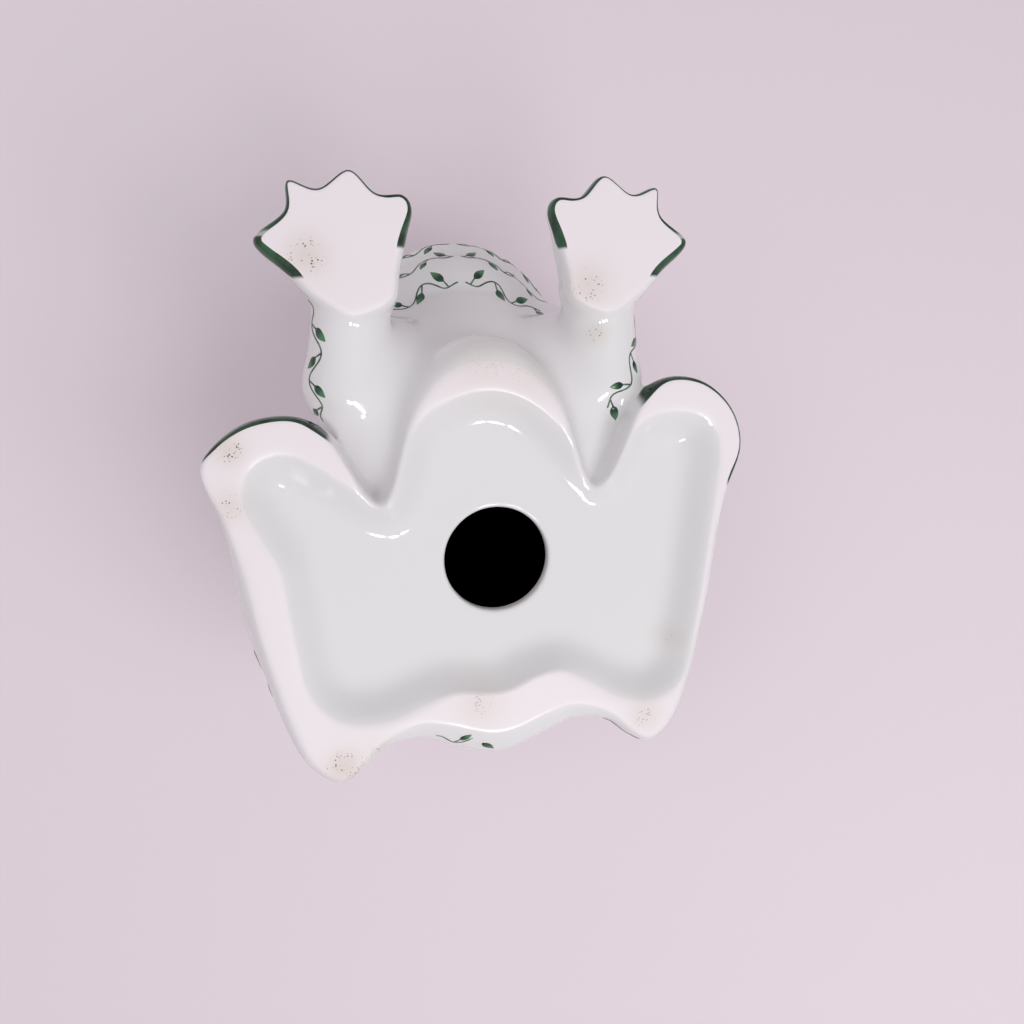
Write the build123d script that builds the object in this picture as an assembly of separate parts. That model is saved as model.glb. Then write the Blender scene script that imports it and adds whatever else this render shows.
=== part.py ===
"""Crouching frog figurine in glazed porcelain.

The figure is slip cast in sections that are luted together before firing:
a base pan with the pour hole, a belly rim, a rump rim, two hind feet,
a hollow torso, two hollow haunches, two forelegs with webbed feet,
a hollow head and two eyes.
Units are millimetres.  The frog faces -Y and stands on the plane Z = 0.
"""

import os

from build123d import *

# Base: the slab that carries the rim, the recess and the pour hole
base_half_width = 57.5
base_length = 88.0
base_front = -26.0
recess_depth = 5.5
floor_thickness = 3.5
hole_diameter = 23.0
hole_setback = 40.8
hole_offset = 1.5
foot_split_share = 0.41
toe_thickness = 4.5
instep_reach = 21.0
cut_overrun = 5.0

# Torso: a tilted egg of revolution, rear pole to front pole, with a swelling on each flank
torso_rear_overhang = -0.58
torso_rear_height = 15.5
torso_length = 108.0
torso_radius = 31.0
torso_tilt = 13.5
flank_width = 31.0
flank_length = 50.0
flank_height = 29.0
flank_centre_height = 19.5
flank_offset = 19.0
flank_setback = 13.0
wall = 3.5

# Haunches: hollow ellipsoids that stand on the hind feet
haunch_length = 68.0
haunch_width = 36.0
haunch_height = 50.0
haunch_centre_height = 20.0
haunch_offset = 36.5
haunch_setback = 47.5
haunch_splay = 9.5
haunch_wall = 3.0

# Forelegs: webbed foot, forearm and upper arm
front_foot_width = 29.1
front_foot_length = 25.0
front_foot_thickness = 4.0
front_foot_offset = 28.2
front_foot_reach = 24.0
wrist_radius = 7.6
elbow_radius = 8.4
shoulder_radius = 10.5
wrist_height = 8.2
elbow_height = 12.5
shoulder_height = 33.0
wrist_offset = 26.0
elbow_offset = 28.2
shoulder_offset = 23.0
wrist_setback = 10.0
elbow_setback = 26.0
shoulder_setback = 19.5

# Head and eyes
head_width = 56.0
head_length = 64.0
head_height = 38.0
head_centre_height = 42.5
head_reach = 1.0
head_wall = 3.0
eye_diameter = 18.0
eye_offset = 16.0
eye_reach = 5.5
eye_height = 57.5

# Outlines of the right half, front to back, as shares of half width and length
sole_outline_shares = [
    (0.000, 0.000), (0.139, 0.023), (0.252, 0.102), (0.327, 0.210),
    (0.409, 0.307), (0.492, 0.222), (0.570, 0.125), (0.678, 0.068),
    (0.826, 0.077), (0.944, 0.134), (0.983, 0.210), (0.913, 0.324),
    (0.852, 0.472), (0.814, 0.631), (0.757, 0.790), (0.696, 0.903),
    (0.612, 0.955), (0.530, 0.920), (0.452, 0.864), (0.313, 0.824),
    (0.174, 0.835), (0.000, 0.864),
]
top_outline_shares = [
    (0.000, -0.085), (0.157, -0.051), (0.287, 0.051), (0.348, 0.176),
    (0.409, 0.278), (0.487, 0.205), (0.557, 0.114), (0.678, 0.057),
    (0.835, 0.066), (0.960, 0.131), (1.000, 0.210), (0.957, 0.324),
    (0.922, 0.472), (0.878, 0.631), (0.826, 0.790), (0.748, 0.926),
    (0.626, 0.994), (0.522, 0.966), (0.443, 0.926), (0.313, 0.915),
    (0.174, 0.949), (0.000, 0.983),
]
mouth_outline_shares = [
    (0.000, 0.051), (0.148, 0.074), (0.252, 0.153), (0.322, 0.250),
    (0.409, 0.333), (0.496, 0.261), (0.591, 0.165), (0.713, 0.131),
    (0.835, 0.182), (0.826, 0.324), (0.791, 0.472), (0.757, 0.625),
    (0.704, 0.761), (0.600, 0.835), (0.461, 0.824), (0.327, 0.778),
    (0.197, 0.761), (0.000, 0.790),
]
floor_outline_shares = [
    (0.000, 0.085), (0.122, 0.100), (0.217, 0.170), (0.296, 0.267),
    (0.409, 0.352), (0.513, 0.284), (0.609, 0.193), (0.713, 0.165),
    (0.783, 0.210), (0.774, 0.324), (0.748, 0.472), (0.713, 0.619),
    (0.661, 0.744), (0.583, 0.801), (0.470, 0.793), (0.330, 0.750),
    (0.200, 0.733), (0.000, 0.756),
]

# Webbed front foot, as shares of its width and length about its centre
front_foot_shares = [
    (-0.368, 0.380), (-0.399, 0.180), (-0.454, -0.060), (-0.495, -0.240),
    (-0.436, -0.340), (-0.271, -0.348), (-0.110, -0.500), (0.086, -0.372),
    (0.268, -0.420), (0.302, -0.220), (0.502, -0.020), (0.320, 0.200),
    (0.165, 0.380), (-0.041, 0.500), (-0.247, 0.480),
]

# Torso profile: station along the axis and radius, as shares
torso_profile_shares = [
    (0.000, 0.150), (0.020, 0.322), (0.050, 0.490), (0.100, 0.666),
    (0.180, 0.840), (0.280, 0.958), (0.400, 1.000), (0.500, 0.988),
    (0.600, 0.968), (0.700, 0.942), (0.800, 0.870), (0.880, 0.737),
    (0.940, 0.553), (0.980, 0.338), (1.000, 0.150),
]

base_height = recess_depth + floor_thickness
hole_y = base_front + hole_setback
torso_rear_y = base_front + base_length + torso_rear_overhang
LEFT, RIGHT = -1, 1


def base_points(shares):
    """Closed list of points round the base from shares of its right half."""
    right = [
        (x * base_half_width, base_front + y * base_length) for x, y in shares
    ]
    left = [(-x, y) for x, y in right[-2:0:-1]]
    return right + left


def smooth_face(points, height):
    """Face inside one smooth closed curve through the points."""
    return Pos(0, 0, height) * make_face(Spline(*points, periodic=True))


def drafted_slab(low_shares, high_shares, low, high):
    """Slab whose wall runs straight from one outline to another."""
    return loft(
        [
            smooth_face(base_points(low_shares), low),
            smooth_face(base_points(high_shares), high),
        ],
        ruled=True,
    )


def ellipsoid(width, length, height):
    """Ellipsoid about the origin with these full sizes along X, Y and Z."""
    return scale(Sphere(1), by=(width / 2, length / 2, height / 2))


def side_of(shape, side):
    """The right-hand shape, or its mirror image for the left side."""
    return shape if side == RIGHT else mirror(shape, about=Plane.YZ)


def base_floor():
    """Flat plate that closes the recess from above."""
    outline = smooth_face(base_points(floor_outline_shares), recess_depth)
    return extrude(outline, floor_thickness)


def base_ring():
    """Whole rim round the recess in one block: feet, belly edge and rump edge."""
    slab = drafted_slab(sole_outline_shares, top_outline_shares, 0, base_height)
    recess = drafted_slab(mouth_outline_shares, floor_outline_shares, 0, recess_depth)
    return slab - recess - base_floor()


def base_pan():
    """Floor of the recess with the pour hole."""
    hole = Pos(hole_offset, hole_y, base_height) * Cylinder(hole_diameter / 2, 2 * base_height)
    return base_floor() - hole


def rim(ahead):
    """Middle of the rim: the belly edge ahead of the hole, or the rump edge behind it."""
    width = 2 * foot_split_share * base_half_width
    edge = Align.MAX if ahead else Align.MIN
    block = Box(width, base_length, 4 * base_height, align=(Align.CENTER, edge, Align.CENTER))
    return base_ring() & (Pos(0, hole_y, 0) * block)


def toe_relief():
    """Tilted block above the right hind toes that thins them to a web."""
    front_y = base_front
    split_x = foot_split_share * base_half_width
    rise = base_height - toe_thickness
    wedge = Polyline(
        (front_y - cut_overrun, toe_thickness),
        (front_y + toe_thickness, toe_thickness),
        (front_y + instep_reach + toe_thickness, toe_thickness + rise),
        (front_y + instep_reach + toe_thickness, base_height + cut_overrun),
        (front_y - cut_overrun, base_height + cut_overrun),
        close=True,
    )
    section = Plane.YZ * make_face(wedge)
    return Pos(split_x, 0, 0) * extrude(section, base_half_width)


def hind_foot(side):
    """Long foot with its toes, side rim and heel."""
    split_x = foot_split_share * base_half_width
    reach = Box(
        base_half_width, 4 * base_length, 4 * base_height, align=(Align.MIN, Align.CENTER, Align.CENTER)
    )
    foot = (base_ring() & (Pos(split_x, 0, 0) * reach)) - toe_relief()
    return side_of(foot, side)


def egg(length, radius, inset):
    """Egg of revolution along -Y from the origin, drawn in by an inset."""
    span = length - 2 * inset
    reach = 1 - inset / radius
    points = [(r * radius * reach, -inset - s * span) for s, r in torso_profile_shares]
    ends = Polyline(points[-1], (0, points[-1][1]), (0, points[0][1]), points[0])
    return Rot(0, 90, 0) * revolve(make_face([Spline(*points), *ends.edges()]), Axis.Y)


def torso_place(shape):
    """Tilts a shape along the torso axis and sets it on the rear pole."""
    return Pos(0, torso_rear_y, torso_rear_height) * Rot(-torso_tilt, 0, 0) * shape


def flank(side, inset):
    """Swelling low on one side of the chest, drawn in by an inset."""
    body = ellipsoid(flank_width - 2 * inset, flank_length - 2 * inset, flank_height - 2 * inset)
    return Pos(side * flank_offset, base_front + flank_setback, flank_centre_height) * body


def torso_forms(inset):
    """Egg and flanks, drawn in by an inset."""
    body = torso_place(egg(torso_length, torso_radius, inset))
    return body, flank(LEFT, inset), flank(RIGHT, inset)


def torso_outer():
    """Outer form of the torso, above the base."""
    above = Pos(0, 0, base_height) * Box(
        4 * base_half_width, 4 * base_length, 4 * torso_length, align=(Align.CENTER, Align.CENTER, Align.MIN)
    )
    body, left, right = torso_forms(0)
    return (body & above) + (left & above) + (right & above)


def torso_shell():
    """Hollow torso: back, belly and chest."""
    body, left, right = torso_forms(wall)
    return torso_outer() - body - left - right


def haunch_place(shape):
    """Sets a shape at the middle of the right haunch."""
    place = Pos(haunch_offset, base_front + haunch_setback, haunch_centre_height)
    return place * Rot(0, 0, haunch_splay) * shape


def haunch(side, torso):
    """Hollow thigh that stands on the hind foot and is scribed to the torso."""
    outer = haunch_place(ellipsoid(haunch_width, haunch_length, haunch_height))
    inner = haunch_place(
        ellipsoid(
            haunch_width - 2 * haunch_wall,
            haunch_length - 2 * haunch_wall,
            haunch_height - 2 * haunch_wall,
        )
    )
    above = Pos(0, 0, base_height) * Box(
        4 * base_half_width, 4 * base_length, 4 * haunch_height, align=(Align.CENTER, Align.CENTER, Align.MIN)
    )
    return side_of(((outer - inner) & above) - torso, side)


def rounded_cone(start, start_radius, end, end_radius):
    """Tapered limb between two balls."""
    start, end = Vector(*start), Vector(*end)
    span = end - start
    lean = (start_radius - end_radius) / span.length
    reach = (1 - lean**2) ** 0.5
    axis = span.normalized()
    low = Plane(start + axis * (start_radius * lean), z_dir=axis)
    high = Plane(end + axis * (end_radius * lean), z_dir=axis)
    skin = loft(
        [low * Circle(start_radius * reach), high * Circle(end_radius * reach)],
        ruled=True,
    )
    start_ball = Pos(*start) * Sphere(start_radius)
    end_ball = Pos(*end) * Sphere(end_radius)
    return skin + start_ball + end_ball


def foreleg(side, torso, head):
    """Solid foreleg, scribed to the torso and the head."""
    centre_y = base_front - front_foot_reach
    web = [
        (front_foot_offset + x * front_foot_width, centre_y + y * front_foot_length)
        for x, y in front_foot_shares
    ]
    foot = extrude(smooth_face(web, 0), front_foot_thickness)
    wrist = (wrist_offset, centre_y + wrist_setback, wrist_height)
    elbow = (elbow_offset, centre_y + elbow_setback, elbow_height)
    shoulder = (shoulder_offset, centre_y + shoulder_setback, shoulder_height)
    forearm = rounded_cone(wrist, wrist_radius, elbow, elbow_radius)
    upper_arm = rounded_cone(elbow, elbow_radius, shoulder, shoulder_radius)
    return side_of(foot + forearm + upper_arm - torso - head, side)


def head_place(shape):
    """Sets a shape at the middle of the head."""
    return Pos(0, base_front + head_reach, head_centre_height) * shape


def head_outer():
    """Outer form of the head."""
    return head_place(ellipsoid(head_width, head_length, head_height))


def head_shell(torso):
    """Hollow head scribed to the torso."""
    inner = head_place(
        ellipsoid(
            head_width - 2 * head_wall,
            head_length - 2 * head_wall,
            head_height - 2 * head_wall,
        )
    )
    return head_outer() - inner - torso


def eye(side, head, torso):
    """Domed eye that sits on the head."""
    ball = Pos(eye_offset, base_front - eye_reach, eye_height) * Sphere(eye_diameter / 2)
    return side_of(ball - head - torso, side)


def main():
    torso = torso_outer()
    head = head_outer()
    nodes = {
        "base_pan": base_pan(),
        "belly_rim": rim(ahead=True),
        "rump_rim": rim(ahead=False),
        "torso_shell": torso_shell(),
        "head_shell": head_shell(torso),
    }
    for name, side in (("left", LEFT), ("right", RIGHT)):
        nodes[f"{name}_hind_foot"] = hind_foot(side)
        nodes[f"{name}_haunch"] = haunch(side, torso)
        nodes[f"{name}_foreleg"] = foreleg(side, torso, head)
        nodes[f"{name}_eye"] = eye(side, head, torso)
    os.makedirs("parts", exist_ok=True)
    for name, shape in nodes.items():
        export_step(shape, f"parts/{name}.step")


main()
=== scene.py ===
import math

import bpy
import numpy as np
import openvdb
from mathutils import Matrix, Vector


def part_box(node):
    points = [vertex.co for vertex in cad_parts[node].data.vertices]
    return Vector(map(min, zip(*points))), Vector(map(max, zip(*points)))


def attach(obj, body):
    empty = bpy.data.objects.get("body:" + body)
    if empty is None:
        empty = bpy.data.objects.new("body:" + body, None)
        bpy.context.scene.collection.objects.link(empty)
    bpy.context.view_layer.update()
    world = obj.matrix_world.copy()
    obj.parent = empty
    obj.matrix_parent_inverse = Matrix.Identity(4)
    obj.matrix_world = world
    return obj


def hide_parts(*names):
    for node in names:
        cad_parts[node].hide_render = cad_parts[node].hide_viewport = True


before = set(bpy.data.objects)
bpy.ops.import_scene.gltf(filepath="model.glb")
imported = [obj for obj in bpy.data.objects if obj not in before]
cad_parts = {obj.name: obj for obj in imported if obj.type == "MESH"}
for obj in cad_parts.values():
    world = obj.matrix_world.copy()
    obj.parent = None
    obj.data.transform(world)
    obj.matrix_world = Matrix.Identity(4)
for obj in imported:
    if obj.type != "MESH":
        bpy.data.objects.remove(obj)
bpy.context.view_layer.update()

MM = 0.001
# Grid step of the skin and thickness of its pieces, in millimetres
VOXEL = 0.56
SHELL = 0.8


def top_corner(node):
    """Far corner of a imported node's box, in millimetres."""
    return np.array(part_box(node)[1]) / MM


# Sizes in millimetres
HALF_WIDTH = top_corner("right_hind_foot")[0]
SPLIT_X = top_corner("belly_rim")[0]
BASE_TOP = top_corner("base_pan")[2]
BASE_FRONT = -26.0
BASE_LENGTH = 88.0
RECESS_DEPTH = 5.5
HOLE_RADIUS = 11.5
HOLE_X, HOLE_Y = 1.5, 14.8
SEAM_Z = BASE_TOP - 1.0
TOE_STAGGER = 2.5

# Outlines of the right half of the base, as shares of half width and length
SOLE = [
    (0.000, 0.000), (0.139, 0.023), (0.252, 0.102), (0.318, 0.205), (0.358, 0.280),
    (0.409, 0.312), (0.462, 0.280), (0.508, 0.215), (0.574, 0.125), (0.678, 0.068),
    (0.826, 0.077), (0.944, 0.134), (0.983, 0.210), (0.913, 0.324),
    (0.852, 0.472), (0.814, 0.631), (0.757, 0.790), (0.696, 0.903),
    (0.612, 0.955), (0.530, 0.920), (0.452, 0.864), (0.313, 0.824),
    (0.174, 0.835), (0.000, 0.864),
]
TOP = [
    (0.000, -0.085), (0.157, -0.051), (0.287, 0.051), (0.338, 0.176), (0.368, 0.248),
    (0.409, 0.284), (0.454, 0.252), (0.497, 0.205), (0.560, 0.114), (0.678, 0.057),
    (0.835, 0.066), (0.960, 0.131), (1.000, 0.210), (0.957, 0.324),
    (0.922, 0.472), (0.878, 0.631), (0.826, 0.790), (0.748, 0.926),
    (0.626, 0.994), (0.522, 0.966), (0.443, 0.926), (0.313, 0.915),
    (0.174, 0.949), (0.000, 0.983),
]
# Middle of the recess wall, measured in the photograph, in millimetres
RECESS = [
    (-1.5, -19), (-10, -16), (-14.5, -11), (-16.5, -4), (-19, 2.5), (-22.5, 3.5), (-29, 0), (-36.5, -5.5),
    (-41.5, -8), (-45.5, -6.5), (-46.5, -2), (-44, 4.5), (-41, 11), (-40, 19), (-39, 28), (-37.5, 37.5),
    (-33, 43), (-25, 44), (-17, 41.5), (-9.5, 40), (0.5, 41), (7.5, 38.5), (14.5, 37.5), (21.5, 40.5),
    (28.5, 45), (36, 46.5), (41, 43), (43, 34.5), (45, 22.5), (46.5, 11), (48, -0.5), (48.5, -7),
    (47, -11.5), (42, -13), (36, -12), (31.5, -7.5), (28, -1.5), (24.5, 0), (21.5, -2.5), (17.5, -7),
    (12, -13), (6, -17.5),
]
WEB = [
    (-0.368, 0.380), (-0.399, 0.180), (-0.454, -0.060), (-0.495, -0.240),
    (-0.436, -0.340), (-0.271, -0.348), (-0.110, -0.500), (0.086, -0.372),
    (0.268, -0.420), (0.302, -0.220), (0.502, -0.020), (0.320, 0.200),
    (0.165, 0.380), (-0.041, 0.500), (-0.247, 0.480),
]


# Outlines and distances

def catmull_rom(a, b, c, d, t):
    """Point between b and c on the smooth curve through four points."""
    square = (2 * a - 5 * b + 4 * c - d) * t**2
    return 0.5 * (2 * b + (c - a) * t + square + (3 * b - a - 3 * c + d) * t**3)


def smooth_loop(points, steps=10):
    """Closed smooth curve through the points, as an array."""
    p = np.array(points, float)
    a, b, c, d = np.roll(p, 1, 0), p, np.roll(p, -1, 0), np.roll(p, -2, 0)
    t = (np.arange(steps) / steps)[None, :, None]
    return catmull_rom(a[:, None], b[:, None], c[:, None], d[:, None], t).reshape(-1, 2)


def base_loop(shares):
    """Both halves of a base outline in millimetres, toes staggered as in the photograph."""
    right = [(x * HALF_WIDTH, BASE_FRONT + y * BASE_LENGTH) for x, y in shares]
    loop = right + [(-x, y) for x, y in right[-2:0:-1]]
    out = []
    for x, y in loop:
        toe = min(max((-7.5 - y) / 10, 0), 1) * min(max((abs(x) - 26) / 8, 0), 1)
        out.append((x, y - math.copysign(TOE_STAGGER, x) * toe))
    return smooth_loop(out)


def loop_distance(loop, x, y):
    """Signed distance in the plane to a closed loop, negative inside."""
    shape = np.broadcast(x, y).shape
    px = np.broadcast_to(x, shape).ravel().astype(np.float32)
    py = np.broadcast_to(y, shape).ravel().astype(np.float32)
    best = np.full(px.shape, 1e9, np.float32)
    inside = np.zeros(px.shape, bool)
    for (ax, ay), (bx, by) in zip(loop, np.roll(loop, -1, 0)):
        ex, ey = bx - ax, by - ay
        t = np.clip(((px - ax) * ex + (py - ay) * ey) / (ex * ex + ey * ey + 1e-12), 0, 1)
        best = np.minimum(best, (px - ax - t * ex) ** 2 + (py - ay - t * ey) ** 2)
        cross = (ay > py) != (by > py)
        inside ^= cross & (px < ax + (py - ay) * ex / (ey if ey else 1e-12))
    return (np.sqrt(best) * np.where(inside, -1, 1)).reshape(shape)


class Outline:
    """Signed distance to a loop, tabled once and read by place."""

    STEP = 0.4
    LOW, HIGH = np.array((-64.0, -70.0)), np.array((64.0, 70.0))

    def __init__(self, loop):
        nx, ny = ((self.HIGH - self.LOW) / self.STEP).astype(int) + 1
        gx = self.LOW[0] + self.STEP * np.arange(nx)
        gy = self.LOW[1] + self.STEP * np.arange(ny)
        self.table = loop_distance(loop, gx[:, None], gy[None, :])

    def __call__(self, x, y):
        u = np.clip((x - self.LOW[0]) / self.STEP, 0, self.table.shape[0] - 1.001)
        v = np.clip((y - self.LOW[1]) / self.STEP, 0, self.table.shape[1] - 1.001)
        i, j = u.astype(int), v.astype(int)
        fu, fv = u - i, v - j
        t = self.table
        return (
            t[i, j] * (1 - fu) * (1 - fv) + t[i + 1, j] * fu * (1 - fv)
            + t[i, j + 1] * (1 - fu) * fv + t[i + 1, j + 1] * fu * fv
        ).astype(np.float32)


def smooth_min(a, b, k):
    h = np.maximum(k - np.abs(a - b), 0) / k
    return np.minimum(a, b) - h * h * h * k / 6


def smooth_max(a, b, k):
    return -smooth_min(-a, -b, k)


def ramp(value, low, high):
    t = np.clip((value - low) / (high - low), 0, 1)
    return t * t * (3 - 2 * t)


def ellipsoid(x, y, z, centre, semi, turn=0.0, tilt=0.0):
    """Distance to an ellipsoid turned about Z and tilted about X, both in degrees."""
    x, y, z = x - centre[0], y - centre[1], z - centre[2]
    c, s = math.cos(math.radians(turn)), math.sin(math.radians(turn))
    x, y = c * x + s * y, -s * x + c * y
    c, s = math.cos(math.radians(tilt)), math.sin(math.radians(tilt))
    y, z = c * y + s * z, -s * y + c * z
    k0 = np.sqrt((x / semi[0]) ** 2 + (y / semi[1]) ** 2 + (z / semi[2]) ** 2)
    k1 = np.sqrt((x / semi[0] ** 2) ** 2 + (y / semi[1] ** 2) ** 2 + (z / semi[2] ** 2) ** 2)
    return k0 * (k0 - 1) / np.maximum(k1, 1e-6)


def limb(x, y, z, start, r0, end, r1):
    """Distance to a tapered limb between two balls."""
    a, b = np.array(start, float), np.array(end, float)
    ab = b - a
    t = np.clip(((x - a[0]) * ab[0] + (y - a[1]) * ab[1] + (z - a[2]) * ab[2]) / ab.dot(ab), 0, 1)
    d = np.sqrt((x - a[0] - t * ab[0]) ** 2 + (y - a[1] - t * ab[1]) ** 2 + (z - a[2] - t * ab[2]) ** 2)
    return d - (r0 + (r1 - r0) * t)


# Forms of the figure

WEB_CENTRE = (28.5, -50.5)
WEB_SIZE = (30.2, 26.8)
FOOT_HEIGHT = 4.2
WRIST, ELBOW, SHOULDER = (26.0, -40.0, 8.2), (28.2, -24.0, 12.5), (23.0, -30.5, 33.0)
WRIST_RADIUS, ELBOW_RADIUS, SHOULDER_RADIUS = 7.6, 8.4, 10.5
EYE_CENTRE, EYE_RADIUS = (16.0, -31.5, 57.5), 9.0
RUMP = {"centre": (0, 20.0, 25.0), "semi": (30.5, 43.0, 31.5), "tilt": -10.0}
CHEST = {"centre": (0, -11.0, 33.5), "semi": (29.5, 33.0, 28.0), "tilt": -10.0}
FLANK = {"centre": (19.0, -13.0, 19.5), "semi": (15.5, 25.0, 14.5)}
HAUNCH = {"centre": (36.5, 21.5, 20.0), "semi": (18.0, 34.0, 25.0), "turn": 9.5}
HEAD = {"centre": (0.0, -25.0, 42.5), "semi": (28.0, 32.0, 19.0)}

# How softly the forms run into each other
BODY_BLEND, FLANK_BLEND, BASE_BLEND, HAUNCH_BLEND = 16.0, 8.0, 5.0, 3.5
HEAD_BLEND, LEG_BLEND, ELBOW_BLEND, FOOT_BLEND, EYE_BLEND = 6.0, 8.0, 3.0, 4.0, 1.6
RECESS_EDGE, HOLE_EDGE, SOLE_EDGE = 4.0, 1.8, 0.6

sole_line, top_line = Outline(base_loop(SOLE)), Outline(base_loop(TOP))
recess_line = Outline(smooth_loop(RECESS, 6))
web_right = [(WEB_CENTRE[0] + x * WEB_SIZE[0], WEB_CENTRE[1] + y * WEB_SIZE[1]) for x, y in WEB]
web_line = Outline(smooth_loop(web_right))


def base_form(x, y, z):
    """Rim, hind feet, belly edge and rump edge, without the recess."""
    lift = np.clip(z / BASE_TOP, 0, 1)
    bulge = np.sqrt(1 - (1 - lift) ** 2)
    wall = sole_line(x, y) * (1 - bulge) + top_line(x, y) * bulge
    toes = ramp(-y, 2.0, 22.0) * ramp(np.abs(x), 24.0, 30.0)
    roof = 12.0 - 7.4 * toes
    return smooth_max(smooth_max(wall, -z, 1.6), z - roof, 4.0)


def recess_form(x, y, z):
    """Shallow well in the underside."""
    sink = np.clip(z / RECESS_DEPTH, -0.5, 1)
    return smooth_max(recess_line(x, y) + 5.0 * (sink - 0.5), z - RECESS_DEPTH, 5.0)


def hole_form(x, y, z):
    round_wall = np.sqrt((x - HOLE_X) ** 2 + (y - HOLE_Y) ** 2) - HOLE_RADIUS
    return np.maximum(round_wall, z - 20.0)


def torso_form(x, y, z):
    rump, chest = ellipsoid(x, y, z, **RUMP), ellipsoid(x, y, z, **CHEST)
    flank = ellipsoid(np.abs(x), y, z, **FLANK)
    return smooth_min(smooth_min(rump, chest, BODY_BLEND), flank, FLANK_BLEND)


def haunch_form(x, y, z):
    return ellipsoid(np.abs(x), y, z, **HAUNCH)


def web_inset(x, y):
    """How far the flat sole of a front foot stays inside its outline."""
    return 0.7 + 1.3 * ramp(y, -62.0, -44.0)


def foreleg_form(x, y, z):
    ax = np.abs(x)
    web = web_line(ax, y)
    lift = np.clip(z / 3.0, 0, 1)
    web = web + web_inset(ax, y) * (1 - np.sqrt(1 - (1 - lift) ** 2))
    roof = FOOT_HEIGHT + 3.0 * ramp(y, -58.0, -42.0)
    foot = smooth_max(smooth_max(web, -z, 0.8), z - roof, 2.2)
    forearm = limb(ax, y, z, WRIST, WRIST_RADIUS, ELBOW, ELBOW_RADIUS)
    upper = limb(ax, y, z, ELBOW, ELBOW_RADIUS, SHOULDER, SHOULDER_RADIUS)
    arm = smooth_min(forearm, upper, ELBOW_BLEND)
    return smooth_min(foot, smooth_max(arm, -z - 0.2, 1.0), FOOT_BLEND)


def head_form(x, y, z):
    head = ellipsoid(x, y, z, **HEAD)
    back = np.maximum(y + 22.0, 0)
    lip = (z - 36.0 + 0.10 * back) / 2.2
    chin = (z - 31.0 - 0.16 * (y + 25.0)) / 1.8
    crease = 1.1 * np.exp(-(lip**2)) + 0.7 * np.exp(-(chin**2))
    return head + crease * ramp(-y, 14.0, 30.0)


def eye_form(x, y, z):
    ax = np.abs(x)
    cx, cy, cz = EYE_CENTRE
    return np.sqrt((ax - cx) ** 2 + (y - cy) ** 2 + (z - cz) ** 2) - EYE_RADIUS


def figure(x, y, z):
    """The whole porcelain figure as one distance field."""
    body = smooth_min(torso_form(x, y, z), base_form(x, y, z), BASE_BLEND)
    body = smooth_min(body, np.maximum(haunch_form(x, y, z), 1.5 - z), HAUNCH_BLEND)
    body = smooth_min(body, head_form(x, y, z), HEAD_BLEND)
    body = smooth_min(body, foreleg_form(x, y, z), LEG_BLEND)
    body = smooth_min(body, eye_form(x, y, z), EYE_BLEND)
    body = smooth_max(body, -recess_form(x, y, z), RECESS_EDGE)
    body = smooth_max(body, -hole_form(x, y, z), HOLE_EDGE)
    return smooth_max(body, -z, SOLE_EDGE)


# Skin of the figure as one quad mesh, cut into a closed piece per node

LOW = np.array((-60.0, -65.5, -1.65), np.float32)
HIGH = np.array((60.0, 65.5, 69.0), np.float32)


def skin():
    """Points, quads and normals of the figure's surface."""
    counts = np.ceil((HIGH - LOW) / VOXEL).astype(int)
    axes = [LOW[i] + VOXEL * np.arange(counts[i], dtype=np.float32) for i in range(3)]
    field = np.empty(counts, np.float32)
    slab = 24  # columns at a time, to spare memory
    for i in range(0, counts[0], slab):
        x = axes[0][i:i + slab, None, None]
        field[i:i + slab] = figure(x, axes[1][None, :, None], axes[2][None, None, :])
    grid = openvdb.FloatGrid()
    grid.copyFromArray(field)
    points, quads = grid.convertToQuads(0.0)
    points = LOW + points.astype(np.float32) * VOXEL
    for _ in range(2):
        value, slope = probe(points)
        points = points - slope * value[:, None]
    return points, quads, probe(points)[1]


def probe(points, h=0.12):
    """Distance and unit slope of the figure's field at some points."""
    x, y, z = points.T.astype(np.float32)
    value = figure(x, y, z)
    slope = np.stack([
        figure(x + h, y, z) - figure(x - h, y, z),
        figure(x, y + h, z) - figure(x, y - h, z),
        figure(x, y, z + h) - figure(x, y, z - h),
    ], 1)
    return value, slope / np.maximum(np.linalg.norm(slope, axis=1, keepdims=True), 1e-6)


# 0 to 4 follow the order of the forms in labels(), 5 to 8 are the base, and the left side adds 10
NODES = {
    0: "torso_shell", 1: "right_haunch", 2: "head_shell", 3: "right_foreleg", 4: "right_eye",
    5: "base_pan", 6: "right_hind_foot", 7: "belly_rim", 8: "rump_rim",
    11: "left_haunch", 13: "left_foreleg", 14: "left_eye", 16: "left_hind_foot",
}


def labels(points):
    """Key in NODES of the piece that each point belongs to."""
    x, y, z = points.T
    # Head, legs and eyes take a little of the fillet around them
    forms = np.stack([
        np.minimum(torso_form(x, y, z), base_form(x, y, z)),
        np.maximum(haunch_form(x, y, z), SEAM_Z - z),
        head_form(x, y, z) - 0.3,
        foreleg_form(x, y, z) - 0.3,
        eye_form(x, y, z) - 0.2,
    ])
    kind = forms.argmin(0)
    in_hole = (np.hypot(x - HOLE_X, y - HOLE_Y) < HOLE_RADIUS + 2) & (z < 26)
    low = (kind == 0) & ((z < SEAM_Z) | in_hole)
    kind = np.where(low, np.where(y < HOLE_Y, 7, 8), kind)
    kind = np.where(low & (np.abs(x) > SPLIT_X), 6, kind)
    kind = np.where(low & (in_hole | (recess_line(x, y) < -1.0)), 5, kind)
    return np.where(np.isin(kind, (1, 3, 4, 6)) & (x < 0), kind + 10, kind)


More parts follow.
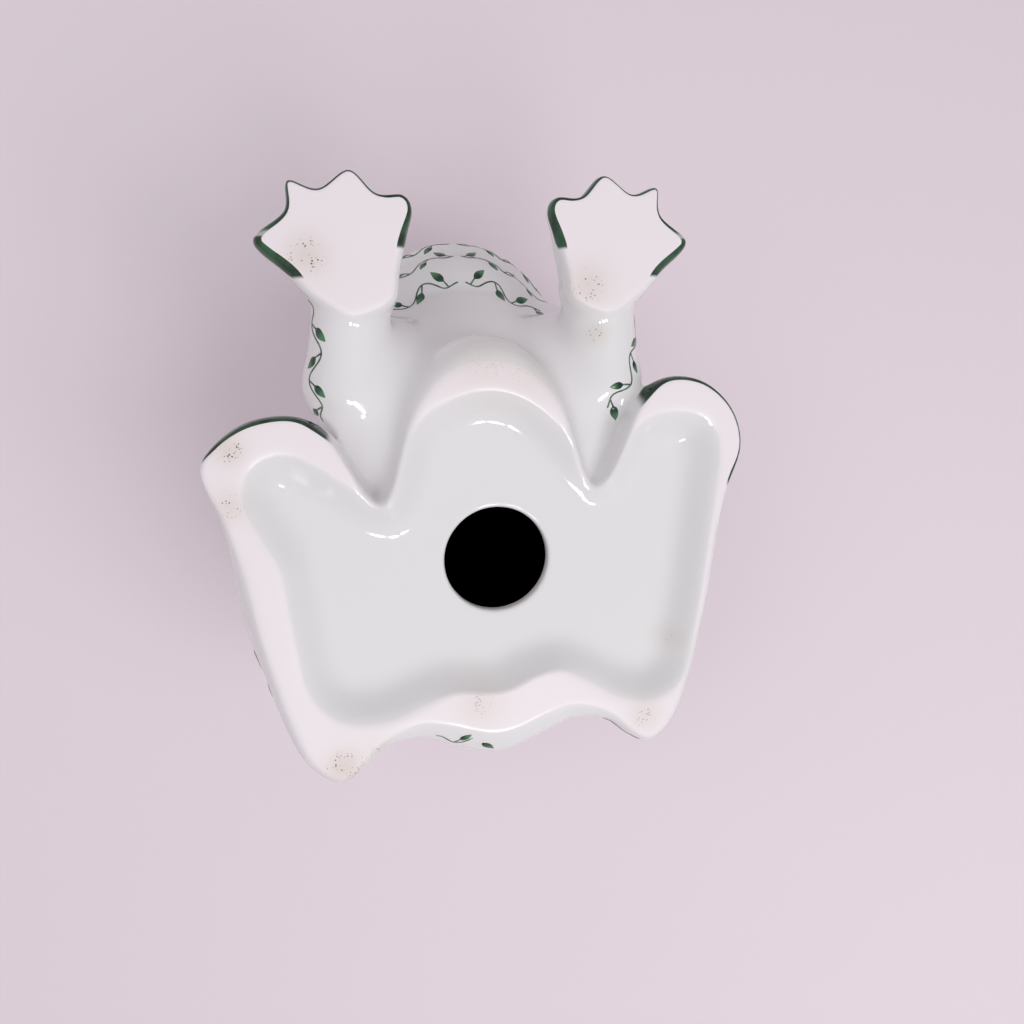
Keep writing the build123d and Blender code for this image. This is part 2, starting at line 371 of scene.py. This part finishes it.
def shell(points, faces, normals):
    """Closes a patch with a copy of itself, drawn in by SHELL, and a wall along its edges."""
    count = len(points)
    a, b = faces.ravel().astype(np.int64), np.roll(faces, -1, 1).ravel().astype(np.int64)
    lone = ~np.isin(a * count + b, b * count + a)
    a, b = a[lone], b[lone]
    wall = np.stack([b, a, a + count, b + count], 1)
    both = np.vstack([faces, faces[:, ::-1] + count, wall])
    return np.vstack([points, points - SHELL * normals]), both, np.vstack([normals, -normals])


def bump(value, low, high, soft):
    """Rises to 1 between two values and fades over a soft edge on both sides."""
    return ramp(value, low - soft, low) * ramp(-value, -high - soft, -high)


def paint_fields(p, n):
    """Smooth values that the glaze reads: painted foot edges, kiln dust and the eyes' gaze."""
    x, y, z = p.T
    ax = np.abs(x)
    front = y < -34
    outer_flank = bump(y, -50.0, -46.0, 3.0) * ramp(ax, 32.0, 35.0)
    inner_flank = bump(y, -58.5, -51.5, 3.0) * ramp(-ax, -20.0, -18.0)
    flank = outer_flank + inner_flank
    tips = 0.8 * ramp(-y, 50.0, 55.0)
    front_toes = np.maximum(flank, tips) * (1 - ramp(z, 1.2, 2.8))
    thick = ramp(-y, 8.5, 13.0) * ramp(-x, 30.0, 36.0)
    thin = ramp(-y + 0.5 * np.maximum(x - 42.0, 0), 2.0, 9.0) * ramp(x, 31.0, 36.0)
    hind = np.maximum(thick, 0.8 * thin) * ramp(foreleg_form(x, y, z) - base_form(x, y, z), 0.5, 2.5)
    past_front = web_line(ax, y) + web_inset(ax, y) + 0.15 * flank + 0.2
    past_sole = np.where(front, past_front, sole_line(x, y) + 0.5 * thick + 0.5 * thin)
    dust = sum(
        strength * np.exp(-((x - cx) ** 2 + (y - cy) ** 2) / reach**2) for cx, cy, reach, strength in DUST
    )
    look = np.stack([ax - EYE_CENTRE[0], y - EYE_CENTRE[1], z - EYE_CENTRE[2]], 1) / EYE_RADIUS
    return {
        "past_sole": np.where(z < 8, past_sole, -5.0),
        "toe": np.where(front, front_toes, hind * (1 - ramp(z, 3.0, 5.0))),
        "dust": dust * ramp(-n[:, 2], 0.1, 0.5) * (z < 20),
        "gaze": look @ GAZE,
    }


def make_piece(name, points, quads, normals, materials):
    """One closed mesh object in metres, shaded by the field's own normals."""
    used, index = np.unique(quads, return_inverse=True)
    pts, faces, nrm = shell(points[used], index.reshape(-1, 4), normals[used])
    mesh = bpy.data.meshes.new(name)
    mesh.from_pydata((pts * MM).tolist(), [], faces.tolist())
    mesh.polygons.foreach_set("use_smooth", np.ones(len(mesh.polygons), bool))
    for material in materials:
        mesh.materials.append(material)
    mesh.normals_split_custom_set_from_vertices(nrm.tolist())
    for label, values in paint_fields(pts, nrm).items():
        mesh.attributes.new(label, "FLOAT", "POINT").data.foreach_set("value", values.astype(np.float32))
    obj = bpy.data.objects.new(name, mesh)
    bpy.context.scene.collection.objects.link(obj)
    return obj


# Kiln dust on the soles: place and reach in millimetres, and strength
DUST = [
    (-34.1, 56.0, 4.0, 1.0), (-51.2, -12.5, 3.0, 0.8), (-52.0, -1.5, 3.5, 0.6), (-33.9, -48.2, 4.0, 0.8),
    (21.3, -42.5, 4.5, 0.7), (-1.7, -27.7, 7.0, 0.38), (9.0, -24.5, 6.0, 0.34), (-4.6, 45.6, 5.0, 0.5),
    (33.7, 53.0, 4.0, 0.6), (23.8, -32.7, 2.5, 0.6), (41.0, 36.0, 3.0, 0.4), (-26.0, 54.0, 3.0, 0.6),
]
# Way that the right eye looks
GAZE = np.array((0.66, -0.68, 0.32))

# Materials

def new_material(name):
    material = bpy.data.materials.new(name)
    material.use_nodes = True
    tree = material.node_tree
    return material, tree, tree.nodes["Principled BSDF"]


def add(tree, kind, **values):
    """New node; keywords set its properties, or its inputs when they name one."""
    node = tree.nodes.new(kind)
    for key, value in values.items():
        if hasattr(node, key):
            setattr(node, key, value)
        else:
            node.inputs[key.replace("_", " ")].default_value = value
    return node


def wire(tree, *pairs):
    for source, target in pairs:
        tree.links.new(source, target)


def attribute(tree, name):
    return add(tree, "ShaderNodeAttribute", attribute_name=name).outputs["Fac"]


def band(tree, value, low, high):
    """Mask that rises from 0 at low to 1 at high."""
    node = add(tree, "ShaderNodeMapRange", interpolation_type="SMOOTHSTEP")
    node.inputs["From Min"].default_value = low
    node.inputs["From Max"].default_value = high
    wire(tree, (value, node.inputs["Value"]))
    return node.outputs["Result"]


def times(tree, a, b):
    node = add(tree, "ShaderNodeMath", operation="MULTIPLY")
    wire(tree, (a, node.inputs[0]))
    if isinstance(b, float):
        node.inputs[1].default_value = b
    else:
        wire(tree, (b, node.inputs[1]))
    return node.outputs["Value"]


def blend(tree, mask, under, over):
    """Colour mix; under and over are colours or sockets."""
    node = add(tree, "ShaderNodeMix", data_type="RGBA")
    wire(tree, (mask, node.inputs["Factor"]))
    for index, value in ((6, under), (7, over)):
        if isinstance(value, tuple):
            node.inputs[index].default_value = (*value, 1)
        else:
            wire(tree, (value, node.inputs[index]))
    return node.outputs[2]


def noise(tree, scale, detail=2.0):
    coordinates = add(tree, "ShaderNodeTexCoord").outputs["Object"]
    node = add(tree, "ShaderNodeTexNoise", Scale=scale, Detail=detail)
    wire(tree, (coordinates, node.inputs["Vector"]))
    return node.outputs["Fac"]


def shader_group(name, inputs, outputs):
    """Shader node group with named inputs and outputs, for an effect that several materials share."""
    tree = bpy.data.node_groups.new(name, "ShaderNodeTree")
    for label, kind in inputs:
        tree.interface.new_socket(label, in_out="INPUT", socket_type=kind)
    for label, kind in outputs:
        tree.interface.new_socket(label, in_out="OUTPUT", socket_type=kind)
    return tree, tree.nodes.new("NodeGroupInput").outputs, tree.nodes.new("NodeGroupOutput").inputs


def brushed_group():
    """Two tones of enamel, mixed in the streaks that a brush leaves."""
    tree, given, result = shader_group(
        "brushed_enamel",
        [("Grain", "NodeSocketFloat"), ("Dark", "NodeSocketColor"), ("Light", "NodeSocketColor")],
        [("Color", "NodeSocketColor")],
    )
    grain = add(tree, "ShaderNodeTexNoise", Detail=3.0)
    place = add(tree, "ShaderNodeTexCoord").outputs["Object"]
    wire(tree, (place, grain.inputs["Vector"]), (given["Grain"], grain.inputs["Scale"]))
    streak = band(tree, grain.outputs["Fac"], 0.35, 0.63)
    wire(tree, (blend(tree, streak, given["Dark"], given["Light"]), result["Color"]))
    return tree


def sole_group():
    """Masks of the unglazed standing face and of the kiln dust on it."""
    tree, given, result = shader_group(
        "bare_sole",
        [("Dust", "NodeSocketFloat")],
        [("Bare", "NodeSocketFloat"), ("Stain", "NodeSocketFloat"), ("Grains", "NodeSocketFloat")],
    )
    place = add(tree, "ShaderNodeTexCoord").outputs["Object"]
    height = tree.nodes.new("ShaderNodeSeparateXYZ")
    cells = add(tree, "ShaderNodeTexVoronoi", Scale=1700.0)
    wire(tree, (place, height.inputs["Vector"]), (place, cells.inputs["Vector"]))
    dots = band(tree, cells.outputs["Distance"], 0.34, 0.22)
    specks = times(tree, dots, band(tree, noise(tree, 520.0), 0.44, 0.54))
    wire(
        tree,
        (band(tree, height.outputs["Z"], 0.00075, 0.00010), result["Bare"]),
        (times(tree, given["Dust"], 0.38), result["Stain"]),
        (times(tree, specks, band(tree, given["Dust"], 0.25, 0.7)), result["Grains"]),
    )
    return tree


def use_group(tree, group, **values):
    """Instance of a shader group; keywords are constants or sockets for its inputs."""
    node = tree.nodes.new("ShaderNodeGroup")
    node.node_tree = group
    for label, value in values.items():
        if isinstance(value, bpy.types.NodeSocket):
            wire(tree, (value, node.inputs[label]))
        else:
            node.inputs[label].default_value = (*value, 1) if isinstance(value, tuple) else value
    return node.outputs


GLAZE_WHITE = (0.765, 0.747, 0.762)
BARE_WHITE = (0.83, 0.765, 0.80)
GREEN_DARK, GREEN_MID = (0.005, 0.022, 0.010), (0.022, 0.085, 0.038)
IRIS, PUPIL = (0.60, 0.45, 0.08), (0.004, 0.004, 0.005)
brushed_enamel, bare_sole = brushed_group(), sole_group()


def porcelain_material():
    """White glaze, bare soles with kiln dust, and brushed green foot edges."""
    material, tree, shader = new_material("porcelain")
    sole = use_group(tree, bare_sole, Dust=attribute(tree, "dust"))
    green = use_group(tree, brushed_enamel, Grain=260.0, Dark=GREEN_DARK, Light=GREEN_MID)["Color"]
    brush = times(tree, band(tree, attribute(tree, "past_sole"), 0.12, 0.45), attribute(tree, "toe"))
    colour = blend(tree, sole["Bare"], GLAZE_WHITE, BARE_WHITE)
    colour = blend(tree, sole["Stain"], colour, (0.50, 0.38, 0.24))
    colour = blend(tree, sole["Grains"], colour, (0.07, 0.045, 0.03))
    colour = blend(tree, band(tree, brush, 0.18, 0.55), colour, green)
    rough = add(tree, "ShaderNodeMapRange")
    rough.inputs["To Min"].default_value = 0.07
    rough.inputs["To Max"].default_value = 0.55
    wire(
        tree,
        (sole["Bare"], rough.inputs["Value"]),
        (rough.outputs["Result"], shader.inputs["Roughness"]),
        (colour, shader.inputs["Base Color"]),
    )
    return material


def eye_material():
    """White glaze with a painted iris and pupil."""
    material, tree, shader = new_material("eye_glaze")
    shader.inputs["Roughness"].default_value = 0.07
    gaze = attribute(tree, "gaze")
    ring = use_group(tree, brushed_enamel, Grain=260.0, Dark=GREEN_DARK, Light=GREEN_MID)["Color"]
    colour = blend(tree, band(tree, gaze, 0.70, 0.72), GLAZE_WHITE, ring)
    colour = blend(tree, band(tree, gaze, 0.78, 0.80), colour, IRIS)
    colour = blend(tree, band(tree, gaze, 0.90, 0.915), colour, PUPIL)
    wire(tree, (colour, shader.inputs["Base Color"]))
    return material


def painted_hole_shade_material():
    """Painted shade: dead black for the inside behind the pour hole, standing for the shade in there."""
    material, _, shader = new_material("painted_hole_shade")
    shader.inputs["Base Color"].default_value = (0, 0, 0, 1)
    shader.inputs["Roughness"].default_value = 1.0
    shader.inputs["Specular IOR Level"].default_value = 0.0
    return material


porcelain, eye_glaze, painted_hole_shade = porcelain_material(), eye_material(), painted_hole_shade_material()
points, quads, normals = skin()
owner = labels(points[quads].mean(1))


def paint_hole_shade(obj):
    """Gives the faces deep inside the pour hole the second material, the black painted shade."""
    centre = np.empty(len(obj.data.polygons) * 3, np.float32)
    obj.data.polygons.foreach_get("center", centre)
    x, y, z = centre.reshape(-1, 3).T / MM
    # Faces this deep in the hole get black painted shade instead of the white glaze
    deep = (np.hypot(x - HOLE_X, y - HOLE_Y) < HOLE_RADIUS + 1) & (z > 7.6)
    obj.data.polygons.foreach_set("material_index", deep.astype(np.int32))


for key, node in NODES.items():
    is_eye = node.endswith("eye")
    # The second material paints black shade deep inside the pour hole
    materials = [eye_glaze if is_eye else porcelain, painted_hole_shade]
    obj = make_piece(node + "_skin", points, quads[owner == key], normals, materials)
    if node == "base_pan":
        paint_hole_shade(obj)
    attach(obj, "root")
    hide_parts(node)

# Painted leaf scrolls: stems and leaves of enamel on the glaze

# Paths on the right side, also used mirrored on the left
SCROLLS = {
    "foreleg": [[(36, -17, 20), (33, -22, 30), (31, -28, 38)],
                [(27, -47, 9), (31, -43, 16), (31, -39, 26), (29, -38, 36)]],
    "haunch": [[(46, -8, 24), (54, 8, 26), (54, 24, 26), (48, 42, 25), (40, 54, 22)],
               [(40, -6, 34), (46, 8, 37), (47, 24, 38), (42, 40, 35), (34, 52, 31)]],
    "back": [[(22, -6, 54), (27, 8, 52), (27, 22, 49), (24, 36, 43), (18, 50, 34)],
             [(9, -10, 63), (10, 4, 60), (10, 20, 57), (9, 36, 50), (8, 50, 39), (6, 60, 26)]],
    "head": [[(1, -57, 39.5), (10, -55, 39.5), (19, -48, 40), (26, -36, 42), (28, -24, 45)],
             [(1, -54, 33.2), (10, -52, 33.2), (18, -45, 33.8), (23, -36, 35)],
             [(1, -48, 27), (8, -47, 27), (15, -42, 28), (20, -35, 30)],
             [(3, -51, 51), (5, -44, 57), (6, -36, 60), (6, -26, 62), (5, -16, 62)],
             [(17, -46, 49), (23, -38, 50), (26, -28, 51), (26, -16, 53)]],
}
# Paths on one side only, and plain brush strokes without leaves
SPRIGS = {
    "foreleg": [[(-31.5, -41, 6), (-32.5, -33, 6.5), (-33.5, -25, 7), (-33, -17, 9)],
                [(35, -37, 7), (34, -30, 6), (31, -24, 5), (27, -18, 7)]],
    "haunch": [[(-50, 31, 10), (-49, 38, 10)], [(-46.5, 48, 9), (-44, 54, 9)]],
    "back": [[(-14, 52, 2.5), (-8, 53, 3), (-2, 54, 3.5)]],
}
STROKES = {"back": [[(25, 53, 3), (29, 57, 3), (33.5, 60.5, 3)]]}
# Length and reach of a stem's sway, fade of the sway at its ends, and length of a leaf's stalk
WAVE, SWAY, FADE, STALK = 11.0, 1.7, 4.0, 1.9
STEM_STEP, STEM_SINK = 0.6, 0.12
STEM_RADIUS, LEAF_LENGTH, LEAF_WIDTH, LEAF_LIFT = 0.24, 3.6, 1.8, 0.16


def settle(p):
    """Moves points on to the nearest surface of the figure."""
    for _ in range(6):
        value, slope = probe(p)
        p = p - slope * np.clip(value, -3, 3)[:, None]
    return p, probe(p)[1]


def even_path(points, spacing):
    """Open smooth curve through the points, at an even spacing."""
    p = np.array(points, float)
    p = np.vstack([2 * p[0] - p[1], p, 2 * p[-1] - p[-2]])
    t = np.linspace(0, 1, 24, endpoint=False)[:, None]
    parts = [catmull_rom(*four, t) for four in zip(p[:-3], p[1:-2], p[2:-1], p[3:])]
    curve = np.vstack(parts + [p[-2:-1]])
    along = np.concatenate([[0], np.cumsum(np.linalg.norm(np.diff(curve, axis=0), axis=1))])
    count = max(int(along[-1] / spacing), 4)
    return np.stack([np.interp(np.linspace(0, along[-1], count), along, curve[:, i]) for i in range(3)], 1)


def unit(v):
    return v / np.maximum(np.linalg.norm(v, axis=-1, keepdims=True), 1e-9)


def scroll(points, phase):
    """One swaying stem with a leaf in every bay: lines, and leaf places with their axes."""
    spine, up = settle(even_path(points, STEM_STEP))
    ahead = unit(np.gradient(spine, axis=0))
    side = unit(np.cross(up, ahead))
    along = np.concatenate([[0], np.cumsum(np.linalg.norm(np.diff(spine, axis=0), axis=1))])
    angle = 2 * math.pi * along / WAVE + phase
    ends = np.minimum(1, np.minimum(along, along[-1] - along) / FADE)
    stem, up = settle(spine + side * (SWAY * np.sin(angle) * ends)[:, None])
    lines, leaves = [stem - up * STEM_SINK], []
    bays = np.arange(math.ceil(angle[0] / math.pi - 0.5), math.floor(angle[-1] / math.pi - 0.5) + 1)
    for n in bays:
        i = int(np.argmin(np.abs(angle - (n + 0.5) * math.pi)))
        turn = -1 if n % 2 == 0 else 1
        lean = unit(side[i] * turn + ahead[i] * 0.55)
        stalk, over = settle(stem[i] + np.linspace(0, 1, 6)[:, None] * lean * STALK)
        lines.append(stalk - over * STEM_SINK)
        leaves.append((stalk[-1], unit(lean + ahead[i] * 0.25), over[-1]))
    return lines, leaves


def polyline_object(name, lines):
    verts = np.vstack(lines)
    starts = np.cumsum([0] + [len(line) for line in lines])
    edges = [(i, i + 1) for a, b in zip(starts[:-1], starts[1:]) for i in range(a, b - 1)]
    mesh = bpy.data.meshes.new(name)
    mesh.from_pydata((verts * MM).tolist(), edges, [])
    obj = bpy.data.objects.new(name, mesh)
    bpy.context.scene.collection.objects.link(obj)
    return obj


def leaf_object():
    """Pillow-shaped leaf along +X, with its lift and its way along the blade stored on it."""
    rings, turns = 7, 6
    u = np.linspace(0.02, 0.98, rings)
    width = np.sin(math.pi * u**0.75) ** 0.85
    a = 2 * math.pi * np.arange(turns) / turns
    x = np.repeat(u * LEAF_LENGTH, turns)
    y = (width[:, None] * np.cos(a) * LEAF_WIDTH / 2).ravel()
    lift = (np.sqrt(width)[:, None] * np.sin(a) * LEAF_LIFT).ravel()
    verts = np.stack([x, y, lift], 1)
    verts = np.vstack([verts, (0, 0, 0), (LEAF_LENGTH, 0, 0)])
    faces = [
        ((r + 1) * turns + k, (r + 1) * turns + (k + 1) % turns, r * turns + (k + 1) % turns, r * turns + k)
        for r in range(rings - 1) for k in range(turns)
    ]
    first, last = len(verts) - 2, len(verts) - 1
    faces += [(k, (k + 1) % turns, first) for k in range(turns)]
    end = (rings - 1) * turns
    faces += [(end + (k + 1) % turns, end + k, last) for k in range(turns)]
    mesh = bpy.data.meshes.new("leaf")
    mesh.from_pydata((verts * MM).tolist(), [], faces)
    mesh.polygons.foreach_set("use_smooth", np.ones(len(mesh.polygons), bool))
    for label, values in (("lift", verts[:, 2] * MM), ("blade", verts[:, 0] / LEAF_LENGTH)):
        mesh.attributes.new(label, "FLOAT", "POINT").data.foreach_set("value", values.astype(np.float32))
    obj = bpy.data.objects.new("leaf", mesh)
    bpy.context.scene.collection.objects.link(obj)
    return obj


def geometry_tree(name, sockets):
    tree = bpy.data.node_groups.new(name, "GeometryNodeTree")
    tree.interface.new_socket("Geometry", in_out="OUTPUT", socket_type="NodeSocketGeometry")
    for label, kind in sockets:
        tree.interface.new_socket(label, in_out="INPUT", socket_type=kind)
    return tree, tree.nodes.new("NodeGroupInput").outputs, tree.nodes.new("NodeGroupOutput").inputs


def stem_tree():
    """Round brush line along every edge of the input mesh."""
    tree, given, result = geometry_tree("brush_lines", [
        ("Geometry", "NodeSocketGeometry"), ("Radius", "NodeSocketFloat"), ("Paint", "NodeSocketMaterial")])
    curve = tree.nodes.new("GeometryNodeMeshToCurve")
    circle = add(tree, "GeometryNodeCurvePrimitiveCircle", Resolution=8)
    sweep = tree.nodes.new("GeometryNodeCurveToMesh")
    sweep.inputs["Fill Caps"].default_value = True
    real = tree.nodes.new("GeometryNodeRealizeInstances")
    paint = tree.nodes.new("GeometryNodeSetMaterial")
    wire(
        tree,
        (given["Geometry"], curve.inputs["Mesh"]),
        (given["Radius"], circle.inputs["Radius"]),
        (curve.outputs["Curve"], sweep.inputs["Curve"]),
        (circle.outputs["Curve"], sweep.inputs["Profile Curve"]),
        (sweep.outputs["Mesh"], real.inputs["Geometry"]),
        (real.outputs["Geometry"], paint.inputs["Geometry"]),
        (given["Paint"], paint.inputs["Material"]),
        (paint.outputs["Geometry"], result["Geometry"]),
    )
    return tree


def leaf_tree():
    """A leaf on every point, laid down on the skin."""
    tree, given, result = geometry_tree("brush_leaves", [
        ("Geometry", "NodeSocketGeometry"), ("Leaf", "NodeSocketObject"), ("Skin", "NodeSocketObject"),
        ("Paint", "NodeSocketMaterial")])
    leaf, skin_info = tree.nodes.new("GeometryNodeObjectInfo"), tree.nodes.new("GeometryNodeObjectInfo")
    aim = add(tree, "GeometryNodeInputNamedAttribute", data_type="FLOAT_VECTOR", Name="aim")
    turn = tree.nodes.new("FunctionNodeEulerToRotation")
    size = add(tree, "GeometryNodeInputNamedAttribute", data_type="FLOAT", Name="size")
    lift = add(tree, "GeometryNodeInputNamedAttribute", data_type="FLOAT", Name="lift")
    place = tree.nodes.new("GeometryNodeInstanceOnPoints")
    real = tree.nodes.new("GeometryNodeRealizeInstances")
    near = tree.nodes.new("GeometryNodeProximity")
    normal = tree.nodes.new("GeometryNodeInputNormal")
    sample = add(tree, "GeometryNodeSampleNearestSurface", data_type="FLOAT_VECTOR")
    rise = add(tree, "ShaderNodeVectorMath", operation="SCALE")
    total = add(tree, "ShaderNodeVectorMath", operation="ADD")
    move = tree.nodes.new("GeometryNodeSetPosition")
    paint = tree.nodes.new("GeometryNodeSetMaterial")
    wire(
        tree,
        (given["Leaf"], leaf.inputs["Object"]),
        (given["Skin"], skin_info.inputs["Object"]),
        (given["Geometry"], place.inputs["Points"]),
        (leaf.outputs["Geometry"], place.inputs["Instance"]),
        (aim.outputs["Attribute"], turn.inputs["Euler"]),
        (turn.outputs["Rotation"], place.inputs["Rotation"]),
        (size.outputs["Attribute"], place.inputs["Scale"]),
        (place.outputs["Instances"], real.inputs["Geometry"]),
        (real.outputs["Geometry"], move.inputs["Geometry"]),
        (skin_info.outputs["Geometry"], near.inputs[0]),
        (skin_info.outputs["Geometry"], sample.inputs["Mesh"]),
        (normal.outputs["Normal"], sample.inputs["Value"]),
        (sample.outputs["Value"], rise.inputs[0]),
        (lift.outputs["Attribute"], rise.inputs["Scale"]),
        (near.outputs["Position"], total.inputs[0]),
        (rise.outputs["Vector"], total.inputs[1]),
        (total.outputs["Vector"], move.inputs["Position"]),
        (move.outputs["Geometry"], paint.inputs["Geometry"]),
        (given["Paint"], paint.inputs["Material"]),
        (paint.outputs["Geometry"], result["Geometry"]),
    )
    return tree


def grow(name, source, tree, **inputs):
    """Runs a Geometry Nodes tree on a source object and keeps the result as a plain mesh."""
    modifier = source.modifiers.new("grow", "NODES")
    modifier.node_group = tree
    for item in tree.interface.items_tree:
        if item.in_out == "INPUT" and item.name in inputs:
            modifier[item.identifier] = inputs[item.name]
    bpy.context.view_layer.update()
    graph = bpy.context.evaluated_depsgraph_get()
    mesh = bpy.data.meshes.new_from_object(source.evaluated_get(graph))
    mesh.name = name
    bpy.data.objects.remove(source)
    obj = bpy.data.objects.new(name, mesh)
    bpy.context.scene.collection.objects.link(obj)
    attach(obj, "root")
    return obj


def stem_material():
    material, tree, shader = new_material("stem_enamel")
    shader.inputs["Roughness"].default_value = 0.12
    ink = use_group(tree, brushed_enamel, Grain=500.0, Dark=(0.035, 0.065, 0.045), Light=(0.12, 0.19, 0.135))
    wire(tree, (ink["Color"], shader.inputs["Base Color"]))
    return material


def leaf_material():
    """Leaf that is dark at its stalk and lighter towards its tip."""
    material, tree, shader = new_material("leaf_enamel")
    shader.inputs["Roughness"].default_value = 0.12
    green = use_group(tree, brushed_enamel, Grain=500.0, Dark=GREEN_DARK, Light=GREEN_MID)["Color"]
    colour = blend(tree, band(tree, attribute(tree, "blade"), 0.75, 0.30), (0.07, 0.20, 0.10), green)
    wire(tree, (colour, shader.inputs["Base Color"]))
    return material


whole = bpy.data.meshes.new("whole")
whole.from_pydata((points * MM).tolist(), [], quads.tolist())
whole_skin = bpy.data.objects.new("whole", whole)
bpy.context.scene.collection.objects.link(whole_skin)
leaf_shape = leaf_object()
brush_lines, brush_leaves = stem_tree(), leaf_tree()
stem_paint, leaf_paint = stem_material(), leaf_material()
rng = np.random.default_rng(7)
for part, paths in SCROLLS.items():
    lines, leaves = [], []
    for side in (1, -1):
        for path in paths:
            grown = scroll([(side * x, y, z) for x, y, z in path], rng.uniform(0, 2 * math.pi))
            lines, leaves = lines + grown[0], leaves + grown[1]
    for path in SPRIGS.get(part, []):
        grown = scroll(path, rng.uniform(0, 2 * math.pi))
        lines, leaves = lines + grown[0], leaves + grown[1]
    for path in STROKES.get(part, []):
        stroke, over = settle(even_path(path, STEM_STEP))
        lines.append(stroke - over * STEM_SINK)
    spines = polyline_object(part + "_lines", lines)
    grow(part + "_stems", spines, brush_lines, Radius=STEM_RADIUS * MM, Paint=stem_paint)
    dots = polyline_object(part + "_dots", [np.array([spot]) for spot, _, _ in leaves])
    aims = []
    for _, ahead, up in leaves:
        across = unit(np.cross(up, ahead))
        aims.append(Matrix((np.cross(across, up), across, up)).transposed().to_euler())
    aim = dots.data.attributes.new("aim", "FLOAT_VECTOR", "POINT")
    aim.data.foreach_set("vector", np.array(aims, np.float32).ravel())
    sizes = rng.uniform(0.85, 1.15, len(leaves)).astype(np.float32)
    dots.data.attributes.new("size", "FLOAT", "POINT").data.foreach_set("value", sizes)
    grow(part + "_leaves", dots, brush_leaves, Leaf=leaf_shape, Skin=whole_skin, Paint=leaf_paint)
bpy.data.objects.remove(leaf_shape)
bpy.data.objects.remove(whole_skin)

# Stage: the table behind the overturned figure, and a floor for views from above

def one_sided(name, colour):
    """Matte surface that is clear from behind."""
    material, tree, shader = new_material(name)
    shader.inputs["Base Color"].default_value = (*colour, 1)
    shader.inputs["Roughness"].default_value = 0.9
    shader.inputs["Specular IOR Level"].default_value = 0.1
    clear = tree.nodes.new("ShaderNodeBsdfTransparent")
    mix = tree.nodes.new("ShaderNodeMixShader")
    side = tree.nodes.new("ShaderNodeNewGeometry")
    output = tree.nodes["Material Output"]
    wire(
        tree,
        (side.outputs["Backfacing"], mix.inputs["Fac"]),
        (shader.outputs["BSDF"], mix.inputs[1]),
        (clear.outputs["BSDF"], mix.inputs[2]),
        (mix.outputs["Shader"], output.inputs["Surface"]),
    )
    return material


def plane(name, height, size, facing, material):
    corners = [(-size, -size, height), (size, -size, height), (size, size, height), (-size, size, height)]
    mesh = bpy.data.meshes.new(name)
    mesh.from_pydata(corners, [], [(0, 1, 2, 3) if facing > 0 else (3, 2, 1, 0)])
    mesh.materials.append(material)
    obj = bpy.data.objects.new(name, mesh)
    bpy.context.scene.collection.objects.link(obj)
    obj.visible_shadow = False
    return obj


# Heights and half size in metres
TABLE_HEIGHT, FLOOR_HEIGHT, STAGE_SIZE = 0.0682, -0.0004, 0.9
TABLE_COLOUR, FLOOR_COLOUR = (0.76, 0.67, 0.728), (0.70, 0.68, 0.69)
plane("table", TABLE_HEIGHT, STAGE_SIZE, -1, one_sided("table_cloth", TABLE_COLOUR))
floor = plane("floor", FLOOR_HEIGHT, STAGE_SIZE, 1, one_sided("floor_cloth", FLOOR_COLOUR))
floor.visible_diffuse = False
floor.visible_glossy = False

# Lamps, in metres and watts

def lamp(name, place, aim, size, power):
    """Round area lamp that points at a spot."""
    data = bpy.data.lights.new(name, "AREA")
    data.shape = "DISK"
    data.size = size
    data.energy = power
    obj = bpy.data.objects.new(name, data)
    obj.location = place
    obj.rotation_euler = (Vector(aim) - Vector(place)).to_track_quat("-Z", "Y").to_euler()
    bpy.context.scene.collection.objects.link(obj)
    return obj


key = lamp("under_key", (0.28, 0.30, -0.60), (0, 0.01, 0.02), 0.7, 2.8)
fill = lamp("under_fill", (-0.45, -0.20, -0.60), (0, 0, 0.03), 0.6, 1.1)
key.visible_glossy = fill.visible_glossy = False
for n, shift in enumerate((-0.13, 0.0, 0.13)):
    spark = lamp(f"under_spark_{n}", (0.05 + shift, 0.45, -0.60), (0, 0.01, 0.02), 0.10, 0.7)
    spark.visible_diffuse = False
lamp("upper_key", (-0.35, -0.45, 0.75), (0, 0, 0.03), 0.4, 2.2)
lamp("upper_fill", (0.55, 0.35, 0.55), (0, 0, 0.03), 0.6, 1.0)

world = bpy.data.worlds.new("studio")
world.use_nodes = True
world.node_tree.nodes["Background"].inputs["Color"].default_value = (1, 0.98, 1, 1)
world.node_tree.nodes["Background"].inputs["Strength"].default_value = 0.5
bpy.context.scene.world = world

# Camera, from the photograph's own view of the sole; focal length and picture width in pixels

FOCAL, PICTURE, SENSOR = 769, 1024, 36.0
camera_data = bpy.data.cameras.new("camera")
camera_data.sensor_width = SENSOR
camera_data.lens = SENSOR * FOCAL / PICTURE
camera_data.clip_start = 0.005
camera = bpy.data.objects.new("camera", camera_data)
right, up, ahead = (0.974, 0.030, -0.222), (0.070, -0.983, 0.170), (0.213, 0.181, 0.960)
turn = Matrix((right, up, -Vector(ahead))).transposed()
camera.matrix_world = Matrix.Translation((-0.0305, -0.0258, -0.1551)) @ turn.to_4x4()
bpy.context.scene.collection.objects.link(camera)
bpy.context.scene.camera = camera
bpy.context.scene.view_settings.view_transform = "Standard"
